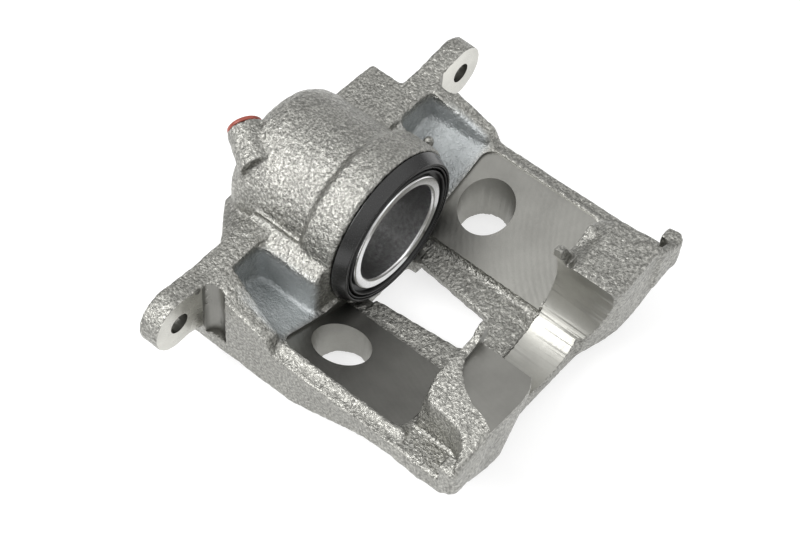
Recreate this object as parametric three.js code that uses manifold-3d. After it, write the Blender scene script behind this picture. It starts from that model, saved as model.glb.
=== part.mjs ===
// Single-piston floating brake caliper housing, lying on its bridge with the open side up.
// Millimetres. +X towards the right ear, -Y from the cylinder towards the fingers, +Z up out of
// the open side. The origin is under the middle of the housing, on the surface it lies on.
// Inside the functions, coordinates start at the bore axis, in the plane of the piston's rim.
import * as THREE from "three";
import { ConvexGeometry } from "three/addons/geometries/ConvexGeometry.js";
import { mergeVertices } from "three/addons/utils/BufferGeometryUtils.js";
import Module from "manifold-3d";

const wasm = await Module();
wasm.setup();

// ---- driving dimensions ---------------------------------------------------------------
const BORE_HEIGHT = 40.0;        // bore axis above the surface the caliper lies on
const RIM_Y = 7.05;              // plane of the piston's open rim
const ROUND = 72;                // facets of the turned pieces
const GAP = 0.3;                 // clearance between neighbouring pieces

// cylinder
const PISTON = { r: 26.9, rimR: 26.0, cavityR: 21.7, length: 54.0, cavityDepth: 44.0 };
const GROOVE = { front: 1.6, back: 4.4, r: 25.0 };           // the boot's groove in the piston
const BORE = { r: 27.2, end: 56.5 };
const SEAL = { front: 13.0, back: 17.0, r: 30.2 };
const COUNTERBORE = { r: 32.6, depth: 8.6 };                 // seat of the boot's ring
const RING_CLEARANCE = { r: 34.6, front: -1.5 };             // room for the ring in the bridge
const COLLAR = { front: 5.6, back: 19.8, r: 35.5 };
const BARREL = { start: 23.2, r: 31.6, end: 65.5, round: 11.0 };

// bridge over the disc
const DISC_AXIS_Z = 93.0;        // brake disc axis above the bore axis
const BRIDGE_R = 130.0;          // outside of the bridge, round the disc axis
const BRIDGE_FLOOR = -33.5;      // underside beside the window
const FLAT = { x: 44.5, z: -17.2, tilt: 22.1, inner: 25.0, outer: 64.5, back: 4.5, front: -54.5 };
const SKIN = 1.6;                // cast surface above the milled flats
const HOLE = { x: 44.6, y: -10.5, top: 11.6, bottom: 9.8 };
const CHANNEL = { half: 22.6, z: -29.0 };
const WINDOW = { back: 3.0, front: -43.0, halfBack: 13.5, halfFront: 9.5, corner: 5.0 };
const UNDERSIDE = { side: -32.0, haunch: -37.5, haunchX: 40.0, keelX: 14.0, end: -6.0, fade: -44.0 };
const RAIL_HALF = 70.6;
const WALL_INNER = 64.5;

// mounting ears
const ARM = { front: 34.5, back: 46.0, top: 5.5 };
const EAR = { x: 85.2, z: -4.8, r: 12.5, face: 36.4, hole: 4.5, faceInner: 72.5 };
const MILL_R = 5.0;              // the ear mill's run-out in the side wall

// fingers
const FINGER = { pad: -57.3, lip: -61.0, front: -87.0, top: 11.0, inner: 19.0, rim: 13.6 };
const RECESS = { r: 26.8, throat: 21.5 };

// fluid connections
const BLEED = { x: 46.0, y: 54.5, face: -14.0, r: 4.3 };
const INLET = { face: [-13.5, 67.5, 20.6], axis: [0.5, 0.85, 0.15], bossR: 8.0, r: 4.7, depth: 9.0 };
const PLUG = { flangeR: 7.2, flange: 1.6, wall: 1.2 };

// ---- solids from three.js geometry ----------------------------------------------------
const bareGeometry = (geometry) => {
  const bare = geometry.clone();
  bare.deleteAttribute("normal");
  bare.deleteAttribute("uv");
  return mergeVertices(bare, 1e-4);
};

const solid = (geometry) => {
  const merged = bareGeometry(geometry);
  return new wasm.Manifold(new wasm.Mesh({
    numProp: 3,
    vertProperties: new Float32Array(merged.attributes.position.array),
    triVerts: new Uint32Array(merged.index.array),
  }));
};

const geometryOf = (manifold) => {
  const mesh = manifold.getMesh();
  const geometry = new THREE.BufferGeometry();
  geometry.setAttribute("position", new THREE.BufferAttribute(mesh.vertProperties, 3));
  geometry.setIndex(new THREE.BufferAttribute(mesh.triVerts, 1));
  geometry.computeVertexNormals();
  return geometry;
};

const join = (...solids) => solids.reduce((whole, next) => whole.add(next));
const cut = (whole, ...tools) => tools.reduce((left, tool) => left.subtract(tool), whole);

const mirrorX = (geometry) => {
  const mirrored = bareGeometry(geometry).scale(-1, 1, 1);
  const order = mirrored.index.array;
  for (let i = 0; i < order.length; i += 3) {
    [order[i], order[i + 1]] = [order[i + 1], order[i]];
  }
  return mirrored;
};

// A piece drawn for the right side (+1), mirrored for the left (-1).
const onSide = (side, geometry) => solid(side > 0 ? geometry : mirrorX(geometry));

const AXES = {
  x: new THREE.Matrix4().makeBasis(
    new THREE.Vector3(0, 1, 0), new THREE.Vector3(0, 0, 1), new THREE.Vector3(1, 0, 0)),
  y: new THREE.Matrix4().makeBasis(
    new THREE.Vector3(1, 0, 0), new THREE.Vector3(0, 0, 1), new THREE.Vector3(0, -1, 0)),
  z: new THREE.Matrix4(),
};

// An outline pushed along an axis from one level to the next: its points are (y, z) for x,
// (x, z) for y and (x, y) for z.
const extrude = (outline, axis, from, to) => {
  const shape = outline instanceof THREE.Shape
    ? outline : new THREE.Shape(outline.map(([a, b]) => new THREE.Vector2(a, b)));
  const geometry = new THREE.ExtrudeGeometry(shape, {
    depth: to - from, bevelEnabled: false, curveSegments: 10,
  });
  const start = { x: [from, 0, 0], y: [0, to, 0], z: [0, 0, from] }[axis];
  return geometry.applyMatrix4(AXES[axis]).translate(...start);
};

const hull = (points) => new ConvexGeometry(points.map((p) => new THREE.Vector3(...p)));

// A profile of [radius, y] points turned round the bore axis.
const turned = (profile, facets = ROUND) => {
  const points = profile.map(([r, y]) => new THREE.Vector2(r, y));
  if (profile[0][0] > 0) points.push(points[0].clone());
  return new THREE.LatheGeometry(points, facets);
};

// The same, round an axis parallel to Z through (x, y): its [radius, z] points run downwards.
const turnedZ = (profile, x, y, facets = 32) =>
  turned([...profile].reverse(), facets).rotateX(Math.PI / 2).translate(x, y, 0);

// Turns a geometry from the Y axis onto another direction.
const aim = (geometry, direction) => geometry.applyQuaternion(
  new THREE.Quaternion().setFromUnitVectors(new THREE.Vector3(0, 1, 0), direction));

const cylinder = (from, to, r, facets = 32) => {
  const [start, end] = [new THREE.Vector3(...from), new THREE.Vector3(...to)];
  const axis = end.clone().sub(start);
  const middle = start.add(end).multiplyScalar(0.5);
  const rod = new THREE.CylinderGeometry(r, r, axis.length(), facets);
  return aim(rod, axis.normalize()).translate(...middle.toArray());
};

const radians = THREE.MathUtils.degToRad;

// ---- surfaces of the bridge -----------------------------------------------------------
const archZ = (x) => DISC_AXIS_Z - Math.sqrt(BRIDGE_R ** 2 - x ** 2);
const flatZ = (x) => FLAT.z + Math.tan(radians(FLAT.tilt)) * (Math.abs(x) - FLAT.x);

const archPoints = (half, steps = 12) => Array.from({ length: steps + 1 }, (_, i) => {
  const x = -half + (2 * half * i) / steps;
  return [x, Math.max(archZ(x), BRIDGE_FLOOR)];
});

const mirroredOutline = (right) => [...right, ...right.map(([x, z]) => [-x, z]).reverse()];

// ---- caliper body: the bridge ---------------------------------------------------------
const bridge = () => {
  const top = mirroredOutline([
    [RAIL_HALF, flatZ(FLAT.outer) - 2.5], [FLAT.outer, flatZ(FLAT.outer) + SKIN],
    [FLAT.inner, flatZ(FLAT.inner) + SKIN], [CHANNEL.half, CHANNEL.z],
  ]);
  return solid(extrude([...archPoints(RAIL_HALF), ...top], "y", FINGER.pad, ARM.back));
};

// The thick floor under the cylinder, which thins out forwards below the flats.
const underside = () => {
  const { side, haunch, haunchX, keelX, end, fade } = UNDERSIDE;
  const section = [[RAIL_HALF, side], [haunchX, haunch], [keelX, -BORE_HEIGHT]];
  const thick = [ARM.back, end].flatMap((y) => section.map(([x, z]) => [x, y, z]));
  const faded = section.map(([x]) => [x, fade, Math.max(archZ(x), BRIDGE_FLOOR) + 0.4]);
  const top = [ARM.back, fade].map((y) => [WALL_INNER, y, flatZ(HOLE.x) - 3]);
  const right = [...thick, ...faded, ...top];
  return solid(hull([...right, ...right.map(([x, y, z]) => [-x, y, z])]));
};

const undersideRelief = () => solid(extrude(
  [[-30, BRIDGE_FLOOR], [-36, -BORE_HEIGHT - 5], [36, -BORE_HEIGHT - 5], [30, BRIDGE_FLOOR]],
  "y", FINGER.pad - 1, RING_CLEARANCE.front));

// The side of the housing, from the ear down to the end of the rail, seen from the side.
const sideWall = (side) => {
  const rail = flatZ(FLAT.outer) - 0.6;
  return onSide(side, extrude([
    [ARM.back, UNDERSIDE.side], [ARM.back, ARM.top], [ARM.front, ARM.top], [6, -3.2],
    [2.5, rail], [-84, rail + 1], [-86, -9], [-79, -14.4], [-69, -20], [-56, -17.5],
    [UNDERSIDE.fade, -18.6], [-31, -23], [-17, -28.6], [UNDERSIDE.end, UNDERSIDE.side],
  ], "x", WALL_INNER, RAIL_HALF));
};

const flatCutter = (side) => {
  const middle = (FLAT.inner + FLAT.outer) / 2;
  const half = (FLAT.outer - FLAT.inner) / 2 / Math.cos(radians(FLAT.tilt));
  const corner = 6;
  const overlap = 3;                                         // into the open channel
  const shape = new THREE.Shape();
  shape.moveTo(-half - overlap, FLAT.front);
  shape.lineTo(half - corner, FLAT.front);
  shape.absarc(half - corner, FLAT.front + corner, corner, -Math.PI / 2, 0, false);
  shape.absarc(half - corner, FLAT.back - corner, corner, 0, Math.PI / 2, false);
  shape.lineTo(-half - overlap, FLAT.back);
  const block = extrude(shape, "z", 0, 30).rotateY(-radians(FLAT.tilt));
  return onSide(side, block.translate(middle, 0, flatZ(middle)));
};

// A cast hole, tapered downwards.
const flatHole = (side) => {
  const top = flatZ(HOLE.x) + 8;
  return onSide(side, turnedZ(
    [[0, top], [HOLE.top + 0.6, top], [HOLE.top, flatZ(HOLE.x)], [HOLE.bottom, -36],
      [HOLE.bottom - 0.5, -50], [0, -50]], HOLE.x, HOLE.y, 36));
};

const windowCutter = () => {
  const { back, front, halfBack, halfFront, corner } = WINDOW;
  const shape = new THREE.Shape();
  shape.moveTo(-halfBack, back);
  shape.lineTo(-halfFront, front + corner);
  shape.quadraticCurveTo(-halfFront, front, -halfFront + corner, front);
  shape.lineTo(halfFront - corner, front);
  shape.quadraticCurveTo(halfFront, front, halfFront, front + corner);
  shape.lineTo(halfBack, back);
  return solid(extrude(shape, "z", -60, -20));
};

const channelCutter = () => solid(extrude(
  [[-CHANNEL.half, CHANNEL.z], [CHANNEL.half, CHANNEL.z], [FLAT.inner, flatZ(FLAT.inner)],
    [FLAT.inner, -5], [-FLAT.inner, -5], [-FLAT.inner, flatZ(FLAT.inner)]],
  "y", FINGER.pad, COLLAR.front));

// ---- caliper body: the cylinder -------------------------------------------------------
const barrel = () => {
  const roundCentre = [BARREL.r - BARREL.round, BARREL.end - BARREL.round];
  const rounding = [0, 22.5, 45, 67.5, 90].map((degrees) => [
    roundCentre[0] + BARREL.round * Math.cos(radians(degrees)),
    roundCentre[1] + BARREL.round * Math.sin(radians(degrees)),
  ]);
  return solid(turned([
    [0, COLLAR.front], [COLLAR.r - 0.8, COLLAR.front], [COLLAR.r, COLLAR.front + 1.2],
    [COLLAR.r, COLLAR.back], [BARREL.r + 0.4, BARREL.start], ...rounding, [0, BARREL.end],
  ], 48));
};

// The web that carries the cylinder down to the bridge, with a ledge along each side.
const cylinderWeb = () => {
  const web = mirroredOutline([[37, -30], [36, -4], [34.5, 5]]);
  const leftLedge = [[-41.6, -30], [-20, -30], [-20, 2.2], [-41.6, 2.2]];
  const rightLedge = leftLedge.map(([x, z]) => [-x, z]).reverse();
  return join(
    solid(extrude(web, "y", COLLAR.front + 0.6, ARM.back)),
    solid(extrude(leftLedge, "y", COLLAR.front + 1, ARM.back)),
    solid(extrude(rightLedge, "y", 23, ARM.back)));
};

// Thick wall behind the left arm, running round the back of the cylinder.
const rearHump = () => solid(hull([
  [-54, 45, 0], [-54, 45, -31], [-28, 66, -8], [-28, 65, -33], [24, 65, -8], [24, 65, -33],
  [30, 45, -8], [30, 45, -31], [14, 60, -BORE_HEIGHT], [-14, 60, -BORE_HEIGHT],
  [14, 45, -BORE_HEIGHT], [-14, 45, -BORE_HEIGHT],
]));

const bleedBoss = () => solid(extrude(
  [[20, 44], [57, 44], [57, 61.8], [20, 63]], "z", BLEED.face, ARM.top));

const inletAxis = new THREE.Vector3(...INLET.axis).normalize();

// A point on the inlet's axis, at a distance out of the boss's face.
const inletPoint = (distance) =>
  new THREE.Vector3(...INLET.face).addScaledVector(inletAxis, distance).toArray();

const inletBoss = () => solid(cylinder(inletPoint(-18), INLET.face, INLET.bossR, 36));

// Everything bored into the cylinder from the front: the piston's bore, the groove of its seal
// and the seat of the boot's ring.
const boreCutter = () => {
  const clearance = RING_CLEARANCE;
  const seal = { r: SEAL.r + GAP, front: SEAL.front - GAP, back: SEAL.back + GAP };
  return solid(turned([
    [0, clearance.front], [clearance.r, clearance.front], [clearance.r, COLLAR.front],
    [COUNTERBORE.r, COLLAR.front], [COUNTERBORE.r, COUNTERBORE.depth],
    [BORE.r, COUNTERBORE.depth], [BORE.r, seal.front], [seal.r, seal.front],
    [seal.r, seal.back], [BORE.r, seal.back], [BORE.r, BORE.end - 1.5],
    [BORE.r - 1.5, BORE.end], [0, BORE.end],
  ]));
};

const bleedPort = () => {
  const { x, y, face, r } = BLEED;
  const drilling = 1.6;
  return join(
    solid(turnedZ([[0, 0], [drilling, 0], [drilling, -2.8], [r, -5.8], [r, face - 1],
      [0, face - 1]], x, y)),
    solid(cylinder([x, y, -1.6], [BORE.r - 6, y, -1.6], drilling, 12)));
};

// The threaded port, with its seat faced flat and a drilling on into the bore.
const inletPort = () => {
  const { r, depth } = INLET;
  const [x, , z] = inletPoint(-depth);
  return join(
    solid(cylinder(INLET.face, inletPoint(12), INLET.bossR + GAP)),
    solid(cylinder(inletPoint(-depth), inletPoint(5), r)),
    solid(cylinder(inletPoint(1 - depth), [x, BORE.end - 4, z * 0.85], 1.6, 12)));
};

// ---- caliper body: the ears -----------------------------------------------------------
const arm = (side) => {
  const { x, z, r } = EAR;
  const shape = new THREE.Shape();
  shape.moveTo(0, ARM.top);
  shape.lineTo(0, -30);
  shape.lineTo(RAIL_HALF, -30);
  shape.lineTo(RAIL_HALF + 2, -20);
  shape.absarc(x, z, r, -Math.PI * 0.6, Math.PI * 0.52, false);
  shape.lineTo(RAIL_HALF - 4, ARM.top);
  return onSide(side, extrude(shape, "y", ARM.front, ARM.back));
};

const earCutter = (side) => {
  const { x, z, hole, face, faceInner } = EAR;
  const mill = new THREE.BoxGeometry(30, 20, 40).translate(faceInner + 15, face - 10, z);
  const cutterY = face - MILL_R;
  const runOut = cylinder([faceInner, cutterY, z - 20], [faceInner, cutterY, z + 20], MILL_R);
  return join(onSide(side, mill), onSide(side, runOut),
    onSide(side, cylinder([x, 20, z], [x, 60, z], hole)));
};

// ---- caliper body: the fingers --------------------------------------------------------
const fingerBlock = (side) => {
  const { pad, top, inner } = FINGER;
  return onSide(side, hull([
    [inner, -66, top], [54.5, -64, top], [56.5, -85.5, top], [29.5, -86.5, top],
    [22, -82, top], [inner, pad, 5], [54, pad, 6.5], [58.5, pad, -9], [59, -84, -9],
    [inner, pad, -32], [inner, -77, -31], [32, -81, -31], [38, -83, -29], [46, -83.5, -27],
    [59, -84, -21], [58.5, pad, -21],
  ]));
};

// The thin upright lip at the inner edge of the pad face, rising to a horn.
const horn = (side) => {
  const { inner, lip, pad } = FINGER;
  const outline = [[inner, 0], [38, 0], [38, 6], [31.5, 8.5], [25, 20], [inner, 20]];
  return onSide(side, extrude(outline, "y", lip, pad));
};

// The low shelf outside each finger, with a front wall and a locating knob at its corner.
const shelf = (side) => {
  const { pad } = FINGER;
  const floor = hull([
    [50, pad + 6, -9.6], [RAIL_HALF, pad + 6, -9.6], [71.8, -80, -8], [70, -85, -7],
    [50, -85, -9], [50, pad + 6, -22], [RAIL_HALF, pad + 6, -17.5],
    [71.8, -80, -16], [69, -84.5, -15], [50, -84, -22],
  ]);
  const frontWall = hull([
    [55, -83, 9], [55, -86.8, 9], [67, -83, 3.5], [67, -86.8, 3.5], [55, -83, -15],
    [55, -86, -15], [67, -83, -12], [67, -86, -12],
  ]);
  const knob = hull([
    [66, -78.5, 3.7], [72.4, -78.5, 3], [73, -84.5, 3], [70, FINGER.front, 3.7],
    [66, FINGER.front, 3.7], [66, -78.5, -12], [72.4, -78.5, -12], [72.5, -84.5, -12],
    [69.5, -86.5, -12], [66, -86.5, -12],
  ]);
  return join(onSide(side, floor), onSide(side, frontWall), onSide(side, knob));
};

// The left finger carries a curved rim, from the horn round to the knob, that falls outwards.
const leftRim = () => {
  const { pad, lip, front, rim } = FINGER;
  const shape = new THREE.Shape();
  shape.moveTo(-FINGER.inner, pad);
  shape.lineTo(-50, pad);
  shape.quadraticCurveTo(-58, pad, -58, -66);
  shape.bezierCurveTo(-58, -80, -62, -82, -72, -86);
  shape.lineTo(-72, front);
  shape.lineTo(-54, front);
  shape.bezierCurveTo(-50, -80, -49, lip, -34, lip);
  shape.lineTo(-FINGER.inner, lip);
  const above = new THREE.BoxGeometry(120, 80, 40).translate(-30, -75, 20)
    .rotateY(-radians(12)).translate(-36, 0, rim);
  return solid(extrude(shape, "z", 0, 30)).subtract(solid(above));
};

const endWall = () => solid(extrude(
  [...archPoints(60), [60, -12], [20, -20], [-20, -20], [-60, -12]], "y", -76.5, FINGER.pad));

// The half-round recess bored through the fingers in line with the cylinder, open at the top.
const recessCutter = () => {
  const { front, pad } = FINGER;
  const throat = new THREE.BoxGeometry(2 * RECESS.throat, 50, 60).translate(0, pad - 19, 30);
  return join(solid(cylinder([0, front - 10, 0], [0, pad + 4, 0], RECESS.r, ROUND)), solid(throat));
};

// ---- caliper body ---------------------------------------------------------------------
const caliperBody = () => {
  const castings = join(
    underside().subtract(undersideRelief()), bridge(), sideWall(1), sideWall(-1), arm(1), arm(-1),
    barrel(), cylinderWeb(), rearHump(), bleedBoss(), inletBoss(), fingerBlock(1),
    fingerBlock(-1), leftRim(), horn(1), horn(-1), shelf(1), shelf(-1), endWall());
  return cut(castings, boreCutter(), recessCutter(), channelCutter(), windowCutter(),
    flatCutter(1), flatCutter(-1), flatHole(1), flatHole(-1), earCutter(1), earCutter(-1),
    bleedPort(), inletPort());
};

// ---- running gear ---------------------------------------------------------------------
const piston = () => {
  const { r, rimR, cavityR, length, cavityDepth } = PISTON;
  return solid(turned([
    [rimR - 0.5, 0], [rimR, 0.5], [rimR, GROOVE.front], [GROOVE.r, GROOVE.front],
    [GROOVE.r, GROOVE.back], [r, GROOVE.back], [r, length - 1.5], [r - 1.5, length],
    [0, length], [0, cavityDepth], [cavityR - 3, cavityDepth], [cavityR, cavityDepth - 3],
    [cavityR, 0.8], [cavityR + 0.8, 0],
  ]));
};

const pistonSeal = () => {
  const [inner, outer] = [PISTON.r + GAP, SEAL.r];
  return solid(turned([[inner, SEAL.front], [outer, SEAL.front], [outer, SEAL.back],
    [inner, SEAL.back]]));
};

// Black ring that clamps the boot: a sloping flange on the collar and a skirt in its seat.
const bootRing = () => {
  const flange = COLLAR.front - GAP;
  const skirt = COUNTERBORE.r - GAP;
  return solid(turned([
    [30.9, -0.2], [31.8, -0.2], [34.2, flange], [skirt, flange],
    [skirt, COUNTERBORE.depth - GAP], [30.9, COUNTERBORE.depth - GAP],
  ]));
};

// Two folds between the ring and a lip that sits in the piston's groove.
const dustBoot = () => {
  const lip = { r: GROOVE.r + GAP, front: GROOVE.front + GAP, back: GROOVE.back - GAP };
  return solid(turned([
    [29.9, 8.0], [29.7, 5.6], [27.9, 5.4], [27.6, lip.back], [lip.r, lip.back],
    [lip.r, lip.front], [27.7, lip.front], [27.9, 0.2], [28.1, -0.2], [28.5, -0.2],
    [28.8, 0.2], [29.0, 4.4], [29.5, 4.4], [29.7, 0.4], [29.9, 0], [30.3, 0], [30.6, 0.4],
    [30.6, 8.0],
  ]));
};

// ---- fluid fittings -------------------------------------------------------------------
const HEX = { across: 10.0, top: BLEED.face - 0.4, bottom: BLEED.face - 6.6 };
const NIPPLE_END = HEX.bottom - 10;

const bleedScrew = () => {
  const { x, y } = BLEED;
  const shank = BLEED.r - 0.4;
  const body = turnedZ([
    [0, -3.4], [1.0, -3.4], [shank, -6.4], [shank, HEX.top - 1], [3.3, HEX.bottom],
    [3.3, HEX.bottom - 3], [4.0, HEX.bottom - 4.5], [4.0, HEX.bottom - 6],
    [3.0, NIPPLE_END], [0, NIPPLE_END],
  ], x, y, 24);
  const corner = HEX.across / Math.sqrt(3);
  const hex = turnedZ([[0, HEX.top], [corner, HEX.top], [corner, HEX.bottom], [0, HEX.bottom]],
    x, y, 6);
  const bore = cylinder([x, y, NIPPLE_END - 1], [x, y, -8.5], 1.0, 12);
  const crossBore = cylinder([x - 6, y, -8], [x + 6, y, -8], 0.9, 12);
  return cut(join(solid(body), solid(hex)), solid(bore), solid(crossBore));
};

const bleedScrewCap = () => {
  const inner = 4.0 + GAP;
  const outer = inner + 1.5;
  const [mouth, crown] = [HEX.bottom - GAP, NIPPLE_END - 2.2];
  return solid(turnedZ([
    [inner, mouth], [outer, mouth], [outer, crown + 1.5], [outer - 1.5, crown], [0, crown],
    [0, NIPPLE_END - GAP], [inner, NIPPLE_END - GAP],
  ], BLEED.x, BLEED.y, 28));
};

// Hollow push-in transport plug with a wide flange over the boss's face.
const inletPlug = () => {
  const shank = INLET.r - GAP;
  const flange = { r: PLUG.flangeR, back: GAP, front: GAP + PLUG.flange };
  const hollow = shank - PLUG.wall;
  const tip = 1 - INLET.depth;
  const plug = turned([
    [0, tip], [shank - 0.8, tip], [shank, tip + 1.5], [shank, flange.back],
    [flange.r, flange.back], [flange.r, flange.front], [hollow, flange.front],
    [hollow, tip + 1.5], [0, tip + 1.5],
  ], 36);
  return solid(aim(plug, inletAxis).translate(...INLET.face));
};

// ---- assembly -------------------------------------------------------------------------
const FINISH = {
  castIron: { color: 0x9a9c9a, roughness: 0.55, metalness: 0.85 },
  chrome: { color: 0xd6d8da, roughness: 0.22, metalness: 1.0 },
  blackSteel: { color: 0x1b1c1e, roughness: 0.35, metalness: 0.4 },
  rubber: { color: 0x141414, roughness: 0.6, metalness: 0.0 },
  zincSteel: { color: 0xb9b6a8, roughness: 0.35, metalness: 0.9 },
  redPlastic: { color: 0xb3261c, roughness: 0.45, metalness: 0.0 },
};

const group = new THREE.Group();
group.position.set(0, RIM_Y, BORE_HEIGHT);
const addPiece = (name, shape, finish) => {
  const mesh = new THREE.Mesh(geometryOf(shape), new THREE.MeshStandardMaterial(finish));
  mesh.name = name;
  group.add(mesh);
};
addPiece("caliper_body", caliperBody(), FINISH.castIron);
addPiece("piston", piston(), FINISH.chrome);
addPiece("piston_seal", pistonSeal(), FINISH.rubber);
addPiece("boot_retaining_ring", bootRing(), FINISH.blackSteel);
addPiece("dust_boot", dustBoot(), FINISH.rubber);
addPiece("bleed_screw", bleedScrew(), FINISH.zincSteel);
addPiece("bleed_screw_cap", bleedScrewCap(), FINISH.rubber);
addPiece("inlet_plug", inletPlug(), FINISH.redPlastic);

export default group;
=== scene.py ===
"""Brake caliper housing: cast body with milled faces, piston, boot, ring and fluid fittings.

Lengths below are millimetres from the bore axis, in the plane of the piston's rim: +X towards
the right ear, -Y towards the fingers, +Z up. place() turns them into the CAD frame in metres.
"""
import math

import bmesh
import bpy
from mathutils import Matrix, Vector, noise
from mathutils.bvhtree import BVHTree

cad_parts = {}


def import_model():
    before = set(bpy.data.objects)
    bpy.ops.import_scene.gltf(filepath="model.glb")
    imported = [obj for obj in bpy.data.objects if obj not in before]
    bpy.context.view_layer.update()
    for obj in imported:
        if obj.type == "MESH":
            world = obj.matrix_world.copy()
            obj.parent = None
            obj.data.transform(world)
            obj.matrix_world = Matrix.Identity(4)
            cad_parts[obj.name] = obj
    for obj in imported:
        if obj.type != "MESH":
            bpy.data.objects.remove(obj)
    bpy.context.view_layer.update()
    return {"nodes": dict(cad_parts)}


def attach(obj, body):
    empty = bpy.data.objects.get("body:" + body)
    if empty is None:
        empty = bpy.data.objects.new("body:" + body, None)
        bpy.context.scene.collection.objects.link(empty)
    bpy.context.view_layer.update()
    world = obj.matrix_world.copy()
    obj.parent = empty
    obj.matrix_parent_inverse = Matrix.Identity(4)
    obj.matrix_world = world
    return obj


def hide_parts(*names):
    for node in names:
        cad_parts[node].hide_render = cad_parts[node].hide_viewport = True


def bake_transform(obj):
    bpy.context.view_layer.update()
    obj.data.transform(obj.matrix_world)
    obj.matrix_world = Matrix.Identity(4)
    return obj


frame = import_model()

# ---- driving dimensions, the same as the CAD's ------------------------------------------
MM = 0.001
BORE_HEIGHT = 40.0
RIM_Y = 7.05
GAP = 0.3
PISTON_R, PISTON_RIM_R, CAVITY_R = 26.9, 26.0, 21.7
PISTON_LENGTH, CAVITY_DEPTH = 54.0, 44.0
GROOVE_FRONT, GROOVE_BACK, GROOVE_R = 1.6, 4.4, 25.0
BORE_R, BORE_END = 27.2, 56.5
SEAL_FRONT, SEAL_BACK, SEAL_R = 13.0, 17.0, 30.2
COUNTERBORE_R, COUNTERBORE_DEPTH = 32.6, 8.6
CLEARANCE_R, CLEARANCE_FRONT = 34.6, -1.5
COLLAR_FRONT = 5.6
FLAT_X, FLAT_Z, FLAT_TILT = 44.5, -17.2, 22.1
FLAT_INNER, FLAT_OUTER, FLAT_BACK, FLAT_FRONT = 25.0, 64.5, 4.5, -54.5
HOLE_X, HOLE_Y, HOLE_TOP, HOLE_BOTTOM, HOLE_BOTTOM_Z = 44.6, -10.5, 11.6, 9.8, -36.0
WALL_INNER, ARM_FRONT, LEDGE_X, MILL_R = 64.5, 34.5, 41.1, 5.0
EAR_X, EAR_Z, EAR_HOLE, EAR_FACE, EAR_INNER = 85.2, -4.8, 4.5, 36.4, 72.5
PAD_Y, FRONT_Y, FINGER_TOP = -57.3, -87.0, 11.0
RECESS_R, THROAT = 26.8, 21.5
BLEED_X, BLEED_Y, BLEED_FACE, BLEED_R, BLEED_SEAT = 46.0, 54.5, -14.0, 4.3, -5.8
INLET_FACE = Vector((-13.5, 67.5, 20.6))
INLET_AXIS = Vector((0.5, 0.85, 0.15)).normalized()
INLET_BOSS_R, INLET_R, INLET_DEPTH = 8.0, 4.7, 9.0

# ---- finish of the casting ----------------------------------------------------------------
VOXEL = 0.75                    # cast skin's mesh size
TURNS = 192                      # facets of turned pieces
MERGE = 1e-6                                      # metres within which corners are one
STOCK, FINGER_STOCK = 1.6, 1.5                    # cast allowance that the mills take off
OVERLAP = 1.5                                     # how deep stock is sunk into the casting
REST_Z = 0.05 * MM                                # lowest point of the rough skin
HOLE_SKIM, THROAT_SKIM, RECESS_SKIM = 0.2, 0.3, 0.35
CAST_SLOT, MILLED_SLOT, PAINTED_HIGHLIGHT_SLOT, BORED_SLOT = range(4)
# Each tool's finish; ear_hole and ear_run_out get the dark 0.22 milled copy as painted shade inside
# the ear holes and the run-out pockets.
TOOL_FINISH_AND_SHADE = {"flat_cutter": MILLED_SLOT, "finger_mill": MILLED_SLOT, "ear_hole": MILLED_SLOT,
               "ear_run_out": MILLED_SLOT, "hole_wall": BORED_SLOT, "recess": BORED_SLOT,
               "throat": BORED_SLOT, "bore": BORED_SLOT}


def place(x, y, z):
    return Vector((x * MM, (y + RIM_Y) * MM, (z + BORE_HEIGHT) * MM))


def flat_z(x):
    return FLAT_Z + math.tan(math.radians(FLAT_TILT)) * (abs(x) - FLAT_X)


# ---- mesh helpers -----------------------------------------------------------------------
def new_object(name, mesh):
    ob = bpy.data.objects.new(name, mesh)
    bpy.context.scene.collection.objects.link(ob)
    return ob


def mesh_from(name, points, faces):
    mesh = bpy.data.meshes.new(name)
    mesh.from_pydata([place(*p) for p in points], [], faces)
    mesh.update()
    bm = bmesh.new()
    bm.from_mesh(mesh)
    bmesh.ops.remove_doubles(bm, verts=bm.verts, dist=MERGE)
    bmesh.ops.recalc_face_normals(bm, faces=bm.faces)
    bm.to_mesh(mesh)
    bm.free()
    return mesh


def hull(name, points):
    bm = bmesh.new()
    for p in points:
        bm.verts.new(place(*p))
    made = bmesh.ops.convex_hull(bm, input=bm.verts)
    loose = {v for v in made["geom_interior"] if isinstance(v, bmesh.types.BMVert)}
    bmesh.ops.delete(bm, geom=list(loose), context="VERTS")
    mesh = bpy.data.meshes.new(name)
    bm.to_mesh(mesh)
    bm.free()
    return new_object(name, mesh)


def prism(name, outline, axis, start, end):
    """An outline pushed along an axis; its points are (y, z) for x, (x, z) for y, (x, y) for z."""
    def point(a, b, level):
        return {"x": (level, a, b), "y": (a, level, b), "z": (a, b, level)}[axis]
    count = len(outline)
    points = [point(a, b, start) for a, b in outline] + [point(a, b, end) for a, b in outline]
    faces = [tuple(range(count)), tuple(range(count, 2 * count))]
    faces += [(i, (i + 1) % count, count + (i + 1) % count, count + i) for i in range(count)]
    return new_object(name, mesh_from(name, points, faces))


def turn_about(profile, origin, axis, turns, closed):
    """Points and faces of a (radius, distance along axis) profile turned round the axis."""
    axis = Vector(axis).normalized()
    side = axis.orthogonal().normalized()
    other = axis.cross(side)
    points, faces = [], []
    for r, s in profile:
        for k in range(turns):
            angle = 2 * math.pi * k / turns
            out = side * math.cos(angle) + other * math.sin(angle)
            points.append(tuple(Vector(origin) + axis * s + out * r))
    rows = len(profile)
    for i in range(rows if closed else rows - 1):
        j = (i + 1) % rows
        for k in range(turns):
            m = (k + 1) % turns
            faces.append((i * turns + k, i * turns + m, j * turns + m, j * turns + k))
    return points, faces


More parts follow.
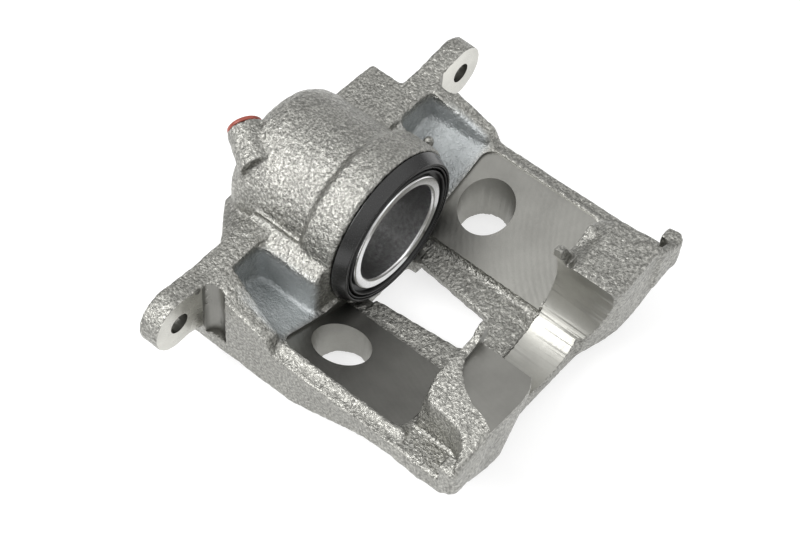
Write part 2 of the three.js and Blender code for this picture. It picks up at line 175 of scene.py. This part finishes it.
def lathe(name, profile, origin=(0, 0, 0), axis=(0, 1, 0), turns=TURNS):
    """A solid of revolution. A profile that starts and ends on the axis is closed by it."""
    on_axis = profile[0][0] == 0 and profile[-1][0] == 0
    inner = [(max(r, 1e-7), s) for r, s in profile]
    points, faces = turn_about(inner, origin, axis, turns, not on_axis)
    mesh = mesh_from(name, points, faces)
    if on_axis:
        bm = bmesh.new()
        bm.from_mesh(mesh)
        bmesh.ops.remove_doubles(bm, verts=bm.verts, dist=MERGE)
        bmesh.ops.dissolve_degenerate(bm, edges=bm.edges, dist=1e-8)
        bmesh.ops.recalc_face_normals(bm, faces=bm.faces)
        bm.to_mesh(mesh)
        bm.free()
    return new_object(name, mesh)


def rounded(profile, radius, steps=4, closed=True):
    """The polyline with every corner rounded off, as far as its neighbours leave room."""
    made = []
    count = len(profile)
    for i, corner in enumerate(profile):
        if not closed and i in (0, count - 1):
            made.append(corner)
            continue
        here = Vector(corner)
        before, after = Vector(profile[i - 1]), Vector(profile[(i + 1) % count])
        reach = min(radius, (before - here).length * 0.45, (after - here).length * 0.45)
        a = here + (before - here).normalized() * reach
        b = here + (after - here).normalized() * reach
        for k in range(steps + 1):
            t = k / steps
            made.append(tuple(a * (1 - t) ** 2 + here * 2 * t * (1 - t) + b * t * t))
    return made


def evaluated(ob, name):
    """A new mesh of the object with its modifiers applied."""
    graph = bpy.context.evaluated_depsgraph_get()
    mesh = bpy.data.meshes.new_from_object(ob.evaluated_get(graph))
    mesh.name = name
    return mesh


def discard(*objects):
    for ob in objects:
        bpy.data.objects.remove(ob)


def smooth_by_angle(mesh, degrees=35):
    bm = bmesh.new()
    bm.from_mesh(mesh)
    limit = math.radians(degrees)
    for face in bm.faces:
        face.smooth = True
    for edge in bm.edges:
        edge.smooth = len(edge.link_faces) == 2 and edge.calc_face_angle(0) < limit
    bm.to_mesh(mesh)
    bm.free()


# ---- materials --------------------------------------------------------------------------
def material(name, **values):
    mat = bpy.data.materials.new(name)
    mat.use_nodes = True
    shader = mat.node_tree.nodes["Principled BSDF"]
    for key, value in values.items():
        shader.inputs[key.replace("_", " ").title().replace("Ior", "IOR")].default_value = value
    return mat, mat.node_tree, shader


def node(tree, kind, **settings):
    made = tree.nodes.new(kind)
    for key, value in settings.items():
        if key in made.inputs:
            made.inputs[key].default_value = value
        else:
            setattr(made, key, value)
    return made


def ramp(tree, source, stops):
    made = tree.nodes.new("ShaderNodeValToRGB")
    elements = made.color_ramp.elements
    while len(elements) < len(stops):
        elements.new(0.5)
    for element, (position, value) in zip(elements, stops):
        element.position = position
        colour = value if isinstance(value, tuple) else (value, value, value)
        element.color = (*colour, 1)
    tree.links.new(source, made.inputs["Fac"])
    return made.outputs["Color"]


def warm(shade):
    """Bare iron's grey, with a little less blue than red."""
    return (shade, shade * 0.99, shade * 0.92)


def noise_of(tree, scale, detail=3.0, roughness=0.55):
    coordinates = tree.nodes.new("ShaderNodeTexCoord")
    made = node(tree, "ShaderNodeTexNoise", Scale=scale, Detail=detail, Roughness=roughness)
    tree.links.new(coordinates.outputs["Object"], made.inputs["Vector"])
    return made.outputs["Fac"]


def mixed(tree, first, second, factor=None, blend_type="MIX"):
    """Two colours mixed by a factor, or fully if there is none."""
    made = tree.nodes.new("ShaderNodeMix")
    made.data_type = "RGBA"
    made.blend_type = blend_type
    colours = [socket for socket in made.inputs if socket.type == "RGBA"]
    made.inputs[0].default_value = 1.0
    if factor is not None:
        tree.links.new(factor, made.inputs[0])
    tree.links.new(first, colours[0])
    tree.links.new(second, colours[1])
    return next(socket for socket in made.outputs if socket.type == "RGBA")


def bump(tree, shader, layers):
    """Stacks bump layers of (height source, distance in metres, strength)."""
    normal = None
    for height, distance, strength in layers:
        made = node(tree, "ShaderNodeBump", Strength=strength, Distance=distance)
        tree.links.new(height, made.inputs["Height"])
        if normal is not None:
            tree.links.new(normal, made.inputs["Normal"])
        normal = made.outputs["Normal"]
    tree.links.new(normal, shader.inputs["Normal"])


def cast_iron():
    """Sand-cast skin: silvery and coarse, finer where the core formed the pockets."""
    mat, tree, shader = material("cast_iron", metallic=1.0)
    grain = noise_of(tree, 950, 3, 0.6)
    patches = noise_of(tree, 60, 3)
    pebbles = noise_of(tree, 380, 2)
    fine = tree.nodes.new("ShaderNodeAttribute")
    fine.attribute_name = "fine_skin"
    speckle = ramp(tree, grain, [(0.36, warm(0.21)), (0.5, warm(0.31)), (0.64, warm(0.5))])
    coarse = mixed(tree, speckle, ramp(tree, patches, [(0.3, 0.84), (0.7, 1.0)]),
                   blend_type="MULTIPLY")
    calm = ramp(tree, patches, [(0.3, (0.4, 0.42, 0.425)), (0.7, (0.49, 0.51, 0.515))])
    tree.links.new(mixed(tree, coarse, calm, fine.outputs["Fac"]), shader.inputs["Base Color"])
    dull = ramp(tree, pebbles, [(0.3, 0.56), (0.7, 0.64)])
    sheen = mixed(tree, ramp(tree, pebbles, [(0.3, 0.3), (0.7, 0.45)]), dull, fine.outputs["Fac"])
    tree.links.new(sheen, shader.inputs["Roughness"])
    bump(tree, shader, [(pebbles, 0.0009, 0.8), (grain, 0.0006, 1.0)])
    return mat


def milled_iron(name, shade, gloss, centre):
    """Milled face with faint arcs about the cutter's centre."""
    mat, tree, shader = material(name, metallic=1.0)
    fine = noise_of(tree, 900, 2)
    patches = noise_of(tree, 45, 4)
    coordinates = tree.nodes.new("ShaderNodeTexCoord")
    shift = node(tree, "ShaderNodeMapping", vector_type="TEXTURE")
    shift.inputs["Location"].default_value = centre
    arcs = node(tree, "ShaderNodeTexWave", wave_type="RINGS", rings_direction="SPHERICAL",
                Scale=130.0, Distortion=2.0, Detail=2.0)
    tree.links.new(coordinates.outputs["Object"], shift.inputs["Vector"])
    tree.links.new(shift.outputs["Vector"], arcs.inputs["Vector"])
    tree.links.new(ramp(tree, patches, [(0.3, warm(shade * 0.84)), (0.7, warm(shade * 1.12))]),
                   shader.inputs["Base Color"])
    tree.links.new(ramp(tree, fine, [(0.3, gloss - 0.04), (0.7, gloss + 0.04)]),
                   shader.inputs["Roughness"])
    bump(tree, shader, [(arcs.outputs["Fac"], 0.00004, 0.3), (fine, 0.00006, 0.35)])
    return mat


def ground_steel():
    mat, tree, shader = material("ground_steel", metallic=1.0)
    fine = noise_of(tree, 700, 2)
    tree.links.new(ramp(tree, fine, [(0.3, 0.68), (0.7, 0.8)]), shader.inputs["Base Color"])
    tree.links.new(ramp(tree, fine, [(0.3, 0.2), (0.7, 0.27)]), shader.inputs["Roughness"])
    bump(tree, shader, [(fine, 0.00003, 0.2)])
    return mat


def black(name, shade, gloss):
    mat, tree, shader = material(name, metallic=0.0)
    fine = noise_of(tree, 1500, 2)
    tree.links.new(ramp(tree, fine, [(0.3, shade * 0.8), (0.7, shade * 1.2)]),
                   shader.inputs["Base Color"])
    tree.links.new(ramp(tree, fine, [(0.3, gloss - 0.03), (0.7, gloss + 0.04)]),
                   shader.inputs["Roughness"])
    bump(tree, shader, [(fine, 0.00004, 0.2)])
    return mat


def red_plastic():
    mat, tree, shader = material("red_plastic")
    fine = noise_of(tree, 300, 2)
    tree.links.new(ramp(tree, fine, [(0.3, (0.2, 0.04, 0.025)), (0.7, (0.27, 0.055, 0.035))]),
                   shader.inputs["Base Color"])
    tree.links.new(ramp(tree, fine, [(0.3, 0.35), (0.7, 0.45)]), shader.inputs["Roughness"])
    bump(tree, shader, [(fine, 0.00005, 0.2)])
    return mat


def zinc_plate():
    mat, tree, shader = material("zinc_plate", metallic=1.0)
    patches = noise_of(tree, 220, 3)
    tree.links.new(ramp(tree, patches, [(0.3, (0.55, 0.53, 0.45)), (0.7, (0.68, 0.65, 0.55))]),
                   shader.inputs["Base Color"])
    tree.links.new(ramp(tree, patches, [(0.3, 0.25), (0.7, 0.4)]), shader.inputs["Roughness"])
    bump(tree, shader, [(patches, 0.00004, 0.3)])
    return mat


CAST = cast_iron()
# The 0.22 copy is also painted shade inside the ear holes and the run-out pockets.
MILLED = milled_iron("milled_iron", 0.22, 0.36, (0.09, -0.09, 0.02))
# The 0.6 copy is a lit copy of the same milled iron: painted highlight on the ear faces and fitting
# seats.
MILLED_PAINTED_HIGHLIGHT = milled_iron("milled_iron_painted_highlight", 0.6, 0.3, (0.0, -0.08, 0.04))
BORED = milled_iron("bored_iron", 0.33, 0.46, (0.0, 0.0, 0.04))
STEEL = ground_steel()
BLACK_STEEL = black("black_steel", 0.014, 0.24)
RUBBER = black("rubber", 0.012, 0.34)
RED = red_plastic()
ZINC = zinc_plate()


def finish_piece(ob, mats, body, replaced, angle=35):
    finishes = [face.material_index for face in ob.data.polygons]
    ob.data.materials.clear()
    for mat in mats:
        ob.data.materials.append(mat)
    ob.data.polygons.foreach_set("material_index", [min(i, len(mats) - 1) for i in finishes])
    smooth_by_angle(ob.data, angle)
    if body:
        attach(ob, body)
    if replaced:
        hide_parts(replaced)


# ---- cast body: the rough casting ---------------------------------------------------------
def casting_stock():
    """Material the mills take off again, so that only cast edges get rounded."""
    parts = []
    ear_pad_r = 12.0
    for side in (1, -1):
        edges = [(x, flat_z(level)) for x, level in ((FLAT_INNER - 1, FLAT_INNER),
                                                     (FLAT_OUTER + 1, FLAT_OUTER))]
        parts.append(hull("flat_stock", [
            (side * x, y, z + lift) for x, z in edges for lift in (-OVERLAP, STOCK)
            for y in (FLAT_FRONT - 1, FLAT_BACK + 1)]))
        parts.append(lathe("ear_stock", [
            (0, EAR_FACE - OVERLAP), (ear_pad_r, EAR_FACE - OVERLAP), (ear_pad_r, EAR_FACE + 1),
            (0, EAR_FACE + 1)], (side * EAR_X, 0, EAR_Z), turns=48))
    return parts


# The left finger's curved rim seen from above: its inner edge and its outer edge.
RIM_INSIDE = [(-15, -60.9), (-27.7, -60.5), (-35.9, -60.9), (-41, -63.7), (-45.3, -68.2),
              (-48.8, -74.4), (-50.3, -81.1), (-52.9, -85.9), (-56, -89.5)]
RIM_OUTSIDE = [(-19.2, -57.3), (-40.9, -56.9), (-47.8, -56.6), (-53.3, -58.2), (-57.6, -62),
               (-58.3, -72.3), (-59.8, -78.1), (-63.4, -81.6), (-69.2, -84), (-72.0, -85.4)]


def rim_top(x, _):
    return 14.0 + math.tan(math.radians(12)) * min(0, x + 42)


def wall(name, outline, bottom, top_of):
    """An upright wall on an outline seen from above, with a top that follows top_of(x, y)."""
    count = len(outline)
    points = [(x, y, bottom) for x, y in outline] + [(x, y, top_of(x, y)) for x, y in outline]
    faces = [tuple(range(count)), tuple(range(count, 2 * count))]
    faces += [(i, (i + 1) % count, count + (i + 1) % count, count + i) for i in range(count)]
    return new_object(name, mesh_from(name, points, faces))


def right_rim():
    """The thin rim along the right finger's pad face, from its horn outwards."""
    outline = [(19.2, 0), (53, 0), (53, 7.1), (45.7, 11.2), (42.1, 8.6), (35.4, 6.6), (31.3, 9.2),
               (26.5, 18), (24.8, 20.2), (19.2, 20.2)]
    return prism("right_rim", outline, "y", PAD_Y - 3.2, PAD_Y)


def finger_stock():
    inside = [(-19.2, -61.2)] + RIM_INSIDE[1:-1] + [(-55.5, -86.8), (-70, -86.8)]
    milled = [(-19.2, -61.2)] + RIM_INSIDE[1:-1] + [(-53, -86.6), (-34, -86.8), (-27, -84.6),
                                                   (-19.2, -77)]
    return [wall("rim", inside + RIM_OUTSIDE[::-1], -9, rim_top),
            wall("finger_top", milled, 5, lambda *_: FINGER_TOP + FINGER_STOCK),
            right_rim()]


def corner_stock():
    """Rounded inner corners of the pockets in front of the arms."""
    parts = []
    for side in (1, -1):
        for x, toward, r in ((WALL_INNER + 0.5, -1, 8.0), (LEDGE_X, 1, 6.0)):
            y = ARM_FRONT + 0.5
            centre = (x + toward * r, y - r)
            bend = [(centre[0] - toward * r * math.cos(a), centre[1] + r * math.sin(a))
                    for a in [math.pi / 2 * k / 8 for k in range(9)]]
            outline = [(side * px, py) for px, py in [(x, y)] + bend]
            parts.append(wall("corner", outline, -24, lambda *_: 3.2))
        widest = 61.5 if side > 0 else 57.5
        thick = [(side * x, y) for x, y in (
            (65, 35), (widest, 35), ((widest + 63.2) / 2, 20), (63.2, 5), (65, 5))]
        parts.append(wall("side_wall", thick, -18, side_wall_top))
    return parts


def side_wall_top(_, y):
    return 5.5 - 0.305 * (ARM_FRONT - y)


def cast_pip():
    """The small feeder stub left beside the cylinder's collar."""
    return lathe("cast_pip", [(0, -4), (2.6, -4), (2.3, 2.6), (1.6, 3.4), (0, 3.6)],
                 (40.5, 18.5, 3.0), (0.35, 0, 1), 24)


def ledge_blend():
    """The soft blend between the left ledge and the cylinder."""
    section = [(-41.0, 2.1), (-36.5, 3.0), (-33.5, 7.0), (-28.0, 0)]
    return hull("ledge_blend", [(x, y, z) for x, z in section for y in (COLLAR_FRONT + 1.5, 46)])


def voxelled(parts, voxel, smoothing):
    """One skin round all the parts, with its edges worn round."""
    bm = bmesh.new()
    for part in parts:
        bm.from_mesh(part.data)
    mesh = bpy.data.meshes.new("casting")
    bm.to_mesh(mesh)
    bm.free()
    ob = new_object("casting", mesh)
    remesh = ob.modifiers.new("skin", "REMESH")
    remesh.mode = "VOXEL"
    remesh.voxel_size = voxel * MM
    wear = ob.modifiers.new("wear", "SMOOTH")
    wear.factor = 0.5
    wear.iterations = smoothing
    mesh = evaluated(ob, "casting")
    discard(ob)
    return mesh


def ramp01(value, low, high):
    return min(1.0, max(0.0, (value - low) / (high - low)))


def band(value, start, full, fading, end):
    """0 up to start, 1 from full to fading, and 0 again from end on."""
    return ramp01(value, start, full) * ramp01(-value, -end, -fading)


def in_hollow(p):
    """1 inside the pockets in front of the arms, fading to 0 round them."""
    return band(abs(p.x), 38, 42, 63, 66) * band(p.y, 3, 7, 33, 38) * band(p.z, -31, -28, -0.5, 3.5)


def soften_hollows(mesh):
    """The core left large soft fillets and a finer skin in the pockets."""
    ob = new_object("hollows", mesh)
    group = ob.vertex_groups.new(name="hollow")
    origin = place(0, 0, 0)
    weights = [in_hollow((vertex.co - origin) / MM) for vertex in mesh.vertices]
    for index, weight in enumerate(weights):
        if weight > 0:
            group.add([index], weight, "REPLACE")
    mesh.attributes.new("fine_skin", "FLOAT", "POINT").data.foreach_set("value", weights)
    wear = ob.modifiers.new("soften", "SMOOTH")
    wear.vertex_group = "hollow"
    wear.factor = 0.5
    wear.iterations = 60
    result = evaluated(ob, "casting")
    discard(ob)
    return result


def roughen(mesh):
    """Sand-cast unevenness: broad waves with pebbles on top."""
    normals = [n.vector.copy() for n in mesh.vertex_normals]
    fine = mesh.attributes["fine_skin"].data
    for vertex, normal, skin in zip(mesh.vertices, normals, fine):
        p = vertex.co / MM
        pebbles = 0.18 * noise.noise(p / 2.4) + 0.12 * noise.noise(p / 1.4)
        height = 0.22 * noise.noise(p / 14) + pebbles * (1 - 0.7 * skin.value)
        vertex.co += normal * height * MM
        vertex.co.z = max(vertex.co.z, REST_Z)


# ---- cast body: the mills and drills --------------------------------------------------------
def arc(cx, cy, r, start, end, steps=10):
    return [(cx + r * math.cos(math.radians(start + (end - start) * i / steps)),
             cy + r * math.sin(math.radians(start + (end - start) * i / steps)))
            for i in range(steps + 1)]


def flat_cutter(side):
    middle = (FLAT_INNER + FLAT_OUTER) / 2
    half = (FLAT_OUTER - FLAT_INNER) / 2 / math.cos(math.radians(FLAT_TILT))
    corner = 6.0
    outline = [(-half - 3, FLAT_FRONT)]
    outline += arc(half - corner, FLAT_FRONT + corner, corner, -90, 0)
    outline += arc(half - corner, FLAT_BACK - corner, corner, 0, 90)
    outline += [(-half - 3, FLAT_BACK)]
    ob = prism("flat_cutter", outline, "z", 0, 30)
    tilt = Matrix.Rotation(-math.radians(FLAT_TILT), 4, "Y")
    here = place(0, 0, 0)
    ob.data.transform(Matrix.Translation(-here))
    ob.data.transform(tilt)
    ob.data.transform(Matrix.Translation(Vector((middle, 0, flat_z(middle))) * MM))
    if side < 0:
        ob.data.transform(Matrix.Scale(-1, 4, (1, 0, 0)))
        ob.data.flip_normals()
    ob.data.transform(Matrix.Translation(here))
    return ob


def inlet_point(distance):
    return tuple(INLET_FACE + INLET_AXIS * distance)


def rod(name, start, end, r, turns=64):
    start, end = Vector(start), Vector(end)
    length = (end - start).length
    return lathe(name, [(0, 0), (r, 0), (r, length), (0, length)], tuple(start), end - start, turns)


def block(name, x, y, z):
    return prism(name, [(x[0], z[0]), (x[1], z[0]), (x[1], z[1]), (x[0], z[1])], "y", y[0], y[1])


def cutters():
    seal_r, seal_front, seal_back = SEAL_R + GAP, SEAL_FRONT - GAP, SEAL_BACK + GAP
    tools = [lathe("bore", [
        (0, CLEARANCE_FRONT), (CLEARANCE_R, CLEARANCE_FRONT), (CLEARANCE_R, COLLAR_FRONT),
        (COUNTERBORE_R, COLLAR_FRONT), (COUNTERBORE_R, COUNTERBORE_DEPTH),
        (BORE_R, COUNTERBORE_DEPTH), (BORE_R, seal_front), (seal_r, seal_front),
        (seal_r, seal_back), (BORE_R, seal_back), (BORE_R, BORE_END - 1.5),
        (BORE_R - 1.5, BORE_END), (0, BORE_END)])]
    tools.append(rod("recess", (0, FRONT_Y - 10, 0), (0, PAD_Y + 4, 0), RECESS_R + RECESS_SKIM, TURNS))
    half = THROAT + THROAT_SKIM
    tools.append(block("throat", (-half, half), (PAD_Y - 44, PAD_Y + 6), (0.2, 60)))
    mouth, foot, level = HOLE_TOP + HOLE_SKIM, HOLE_BOTTOM + HOLE_SKIM, flat_z(HOLE_X)
    hole_profile = [(0, -50), (foot - 0.5, -50), (foot, HOLE_BOTTOM_Z), (mouth, level),
                    (mouth + 0.6, level + 8), (0, level + 8)]
    ear_low, ear_high = EAR_Z - 20, EAR_Z + 20
    for side in (1, -1):
        tools.append(flat_cutter(side))
        tools.append(lathe("hole_wall", hole_profile, (side * HOLE_X, HOLE_Y, 0), (0, 0, 1)))
        near, far = sorted((side * EAR_INNER, side * (EAR_INNER + 30)))
        tools.append(block("ear_mill", (near, far), (EAR_FACE - 20, EAR_FACE), (ear_low, ear_high)))
        run_out = (side * EAR_INNER, EAR_FACE - MILL_R)
        tools.append(rod("ear_run_out", (*run_out, ear_low), (*run_out, ear_high), MILL_R))
        hole = (side * EAR_X, 20, EAR_Z)
        tools.append(rod("ear_hole", hole, (side * EAR_X, 60, EAR_Z), EAR_HOLE))
    tools.append(prism("finger_mill", RIM_INSIDE + [(-56, -95), (-15, -95), (-15, -60.9)],
                       "z", FINGER_TOP, 40))
    tools.append(rod("inlet_face", INLET_FACE, inlet_point(12), INLET_BOSS_R + GAP))
    tools.append(rod("inlet_bore", inlet_point(-INLET_DEPTH), inlet_point(5), INLET_R))
    tools.append(rod("bleed_bore", (BLEED_X, BLEED_Y, BLEED_FACE - 1), (BLEED_X, BLEED_Y, BLEED_SEAT),
                     BLEED_R))
    return tools


def machined(mesh, tools):
    """The casting with every tool taken out, and each tool's finish on the faces it leaves, with
    painted highlight on the ear faces and fitting seats and painted shade in the ear holes and run-out
    pockets.
    """
    ob = new_object("caliper_body_cast", mesh)
    for tool in tools:
        step = ob.modifiers.new(tool.name, "BOOLEAN")
        step.operation = "DIFFERENCE"
        step.object = tool
        step.solver = "MANIFOLD"
    result = evaluated(ob, "caliper_body_cast")
    # Tools that are not listed get the painted-highlight copy of milled iron.
    slots = [TOOL_FINISH_AND_SHADE.get(tool.name.split(".")[0], PAINTED_HIGHLIGHT_SLOT) for tool in tools]
    on_surface = 0.02 * MM
    trees = []
    for tool in tools:
        bm = bmesh.new()
        bm.from_mesh(tool.data)
        trees.append(BVHTree.FromBMesh(bm))
        bm.free()
    for face in result.polygons:
        face.material_index = next(
            (slot for slot, tree in zip(slots, trees)
             if tree.find_nearest(face.center, on_surface)[0] is not None), CAST_SLOT)
    discard(ob, *tools)
    return result


cad_body = frame["nodes"]["caliper_body"]
stock = casting_stock() + finger_stock() + corner_stock() + [ledge_blend(), cast_pip()]
skin = voxelled([cad_body, *stock], VOXEL, 8)
discard(*stock)
skin = soften_hollows(skin)
roughen(skin)
body = new_object("caliper_casting", machined(skin, cutters()))
finish_piece(body, [CAST, MILLED, MILLED_PAINTED_HIGHLIGHT, BORED], "housing", "caliper_body", 30)

# ---- piston, seal, ring and boot ------------------------------------------------------------
piston = lathe("piston_cup", rounded([
    (0, PISTON_LENGTH), (PISTON_R - 1.5, PISTON_LENGTH), (PISTON_R, PISTON_LENGTH - 1.5),
    (PISTON_R, GROOVE_BACK), (GROOVE_R, GROOVE_BACK), (GROOVE_R, GROOVE_FRONT),
    (PISTON_RIM_R, GROOVE_FRONT), (PISTON_RIM_R, 0.5), (PISTON_RIM_R - 0.5, 0),
    (CAVITY_R + 0.8, 0), (CAVITY_R, 0.8), (CAVITY_R, CAVITY_DEPTH - 3),
    (CAVITY_R - 3, CAVITY_DEPTH), (0, CAVITY_DEPTH)], 0.35, 4, False))
finish_piece(piston, [STEEL], "piston", "piston", 50)

skirt = COUNTERBORE_R - GAP
flange = COLLAR_FRONT - GAP
ring = lathe("boot_ring", rounded([
    (30.9, -0.2), (31.8, -0.2), (34.2, flange), (skirt, flange),
    (skirt, COUNTERBORE_DEPTH - GAP), (30.9, COUNTERBORE_DEPTH - GAP)], 0.6, 5))
finish_piece(ring, [BLACK_STEEL], "housing", "boot_retaining_ring", 50)

boot_rows = [
    (29.9, 8.0), (29.8, 7.0), (29.75, 6.3), (29.7, 5.6), (27.9, 5.4), (27.6, GROOVE_BACK - GAP),
    (GROOVE_R + GAP, GROOVE_BACK - GAP), (GROOVE_R + GAP, GROOVE_FRONT + GAP),
    (27.7, GROOVE_FRONT + GAP), (27.9, 0.2), (28.1, -0.2), (28.5, -0.2), (28.8, 0.2),
    (29.0, 4.4), (29.5, 4.4), (29.7, 0.4), (29.9, 0), (30.3, 0), (30.6, 0.4),
    (30.6, 4.5), (30.6, 5.2), (30.6, 5.9), (30.6, 6.6), (30.6, 8.0)]
boot = lathe("dust_boot_folds", rounded(boot_rows, 0.25, 3))
finish_piece(boot, [RUBBER], None, "dust_boot", 60)
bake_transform(boot)

# ---- fluid fittings ---------------------------------------------------------------------------
shank = INLET_R - GAP
plug = lathe("inlet_cap_plug", rounded([
    (0, 1 - INLET_DEPTH), (shank - 0.8, 1 - INLET_DEPTH), (shank, 2.5 - INLET_DEPTH), (shank, GAP),
    (7.2, GAP), (7.2, GAP + 1.6), (shank - 1.2, GAP + 1.6), (shank - 1.2, 2.5 - INLET_DEPTH),
    (0, 2.5 - INLET_DEPTH)], 0.4, 3, False), tuple(INLET_FACE), INLET_AXIS, 96)
finish_piece(plug, [RED], "inlet_plug", "inlet_plug", 50)

hex_top, hex_bottom = BLEED_FACE - 0.4, BLEED_FACE - 6.6
nipple_end = hex_bottom - 10
screw = lathe("bleed_nipple", rounded([
    (0, -3.4), (1.0, -3.4), (BLEED_R - 0.4, -6.4), (BLEED_R - 0.4, hex_top - 1),
    (3.3, hex_bottom), (3.3, hex_bottom - 3), (4.0, hex_bottom - 4.5), (4.0, hex_bottom - 6),
    (3.0, nipple_end), (1.0, nipple_end), (1.0, -8.5), (0, -8.5)], 0.3, 3, False),
    (BLEED_X, BLEED_Y, 0), (0, 0, 1), 64)
hexagon = lathe("hexagon", rounded([
    (0, hex_top), (5.2, hex_top), (5.77, hex_top - 0.5), (5.77, hex_bottom + 0.5),
    (5.2, hex_bottom), (0, hex_bottom)], 0.05, 2, False), (BLEED_X, BLEED_Y, 0), (0, 0, 1), 6)
union = screw.modifiers.new("hexagon", "BOOLEAN")
union.operation = "UNION"
union.object = hexagon
union.solver = "MANIFOLD"
screw.data = evaluated(screw, "bleed_nipple")
screw.modifiers.clear()
discard(hexagon)
finish_piece(screw, [ZINC], "bleed_screw", "bleed_screw", 40)

cap_in, cap_out = 4.0 + GAP, 5.8
mouth, crown = hex_bottom - GAP, nipple_end - 2.2
cap = lathe("bleed_rubber_cap", rounded([
    (cap_in, mouth), (cap_out, mouth), (cap_out, crown + 1.5), (cap_out - 1.5, crown), (0, crown),
    (0, nipple_end - GAP), (cap_in, nipple_end - GAP)], 0.5, 4),
    (BLEED_X, BLEED_Y, 0), (0, 0, 1), 96)
finish_piece(cap, [RUBBER], "bleed_screw_cap", "bleed_screw_cap", 50)

seal = frame["nodes"]["piston_seal"]
seal.data.materials.clear()
seal.data.materials.append(RUBBER)

# ---- floor, light and camera ----------------------------------------------------------------
FLOOR_HALF, FLOOR_GLOW = 6, 0.68                  # metres; emission that keeps shadows faint
LOOK_AT = Vector((0, 0, 0.03))
CAMERA_AT = (-0.3725, -0.26195, 0.6484)
AZIMUTH, ELEVATION, ROLL, LENS = 54.4, 53.9, 5.1, 87.93


def floor():
    bm = bmesh.new()
    bmesh.ops.create_grid(bm, x_segments=8, y_segments=8, size=FLOOR_HALF)
    mesh = bpy.data.meshes.new("floor")
    bm.to_mesh(mesh)
    bm.free()
    ob = new_object("floor", mesh)
    mat, tree, shader = material("floor_paper", roughness=0.9)
    fine = noise_of(tree, 40, 2)
    tree.links.new(ramp(tree, fine, [(0.3, 0.38), (0.7, 0.4)]), shader.inputs["Base Color"])
    shader.inputs["Emission Color"].default_value = (1, 1, 1, 1)
    shader.inputs["Emission Strength"].default_value = FLOOR_GLOW
    ob.data.materials.append(mat)


def soft_light(name, position, size, power):
    data = bpy.data.lights.new(name, "AREA")
    data.shape = "DISK"
    data.size = size
    data.energy = power
    ob = bpy.data.objects.new(name, data)
    bpy.context.scene.collection.objects.link(ob)
    ob.location = position
    ob.rotation_euler = (LOOK_AT - Vector(position)).to_track_quat("-Z", "Y").to_euler()


def world(low, high):
    """A plain studio, brighter overhead than at the horizon."""
    made = bpy.data.worlds.new("studio")
    made.use_nodes = True
    tree = made.node_tree
    coordinates = tree.nodes.new("ShaderNodeTexCoord")
    split = tree.nodes.new("ShaderNodeSeparateXYZ")
    tree.links.new(coordinates.outputs["Generated"], split.inputs["Vector"])
    tree.links.new(ramp(tree, split.outputs["Z"], [(0.15, low), (0.75, high)]),
                   tree.nodes["Background"].inputs["Color"])
    bpy.context.scene.world = made


def camera():
    """The photograph's view, from the front left and above."""
    azimuth, elevation, roll = (math.radians(angle) for angle in (AZIMUTH, ELEVATION, ROLL))
    level = math.cos(elevation)
    back = Vector((-math.sin(azimuth) * level, -math.cos(azimuth) * level, math.sin(elevation)))
    right = (-back).cross(Vector((0, 0, 1))).normalized()
    up = right.cross(-back)
    x = right * math.cos(roll) + up * math.sin(roll)
    y = up * math.cos(roll) - right * math.sin(roll)
    data = bpy.data.cameras.new("camera")
    data.sensor_width = 36
    data.lens = LENS
    data.clip_start = 0.01
    ob = bpy.data.objects.new("camera", data)
    bpy.context.scene.collection.objects.link(ob)
    turn = Matrix((x, y, back)).transposed().to_4x4()
    ob.matrix_world = Matrix.Translation(CAMERA_AT) @ turn
    bpy.context.scene.camera = ob


floor()
soft_light("key", (-0.9, 0.5, 1.0), 0.9, 18)
soft_light("fill", (0.2, -1.2, 0.9), 0.8, 2)
world(0.36, 1.16)
camera()
bpy.context.scene.view_settings.view_transform = "Standard"
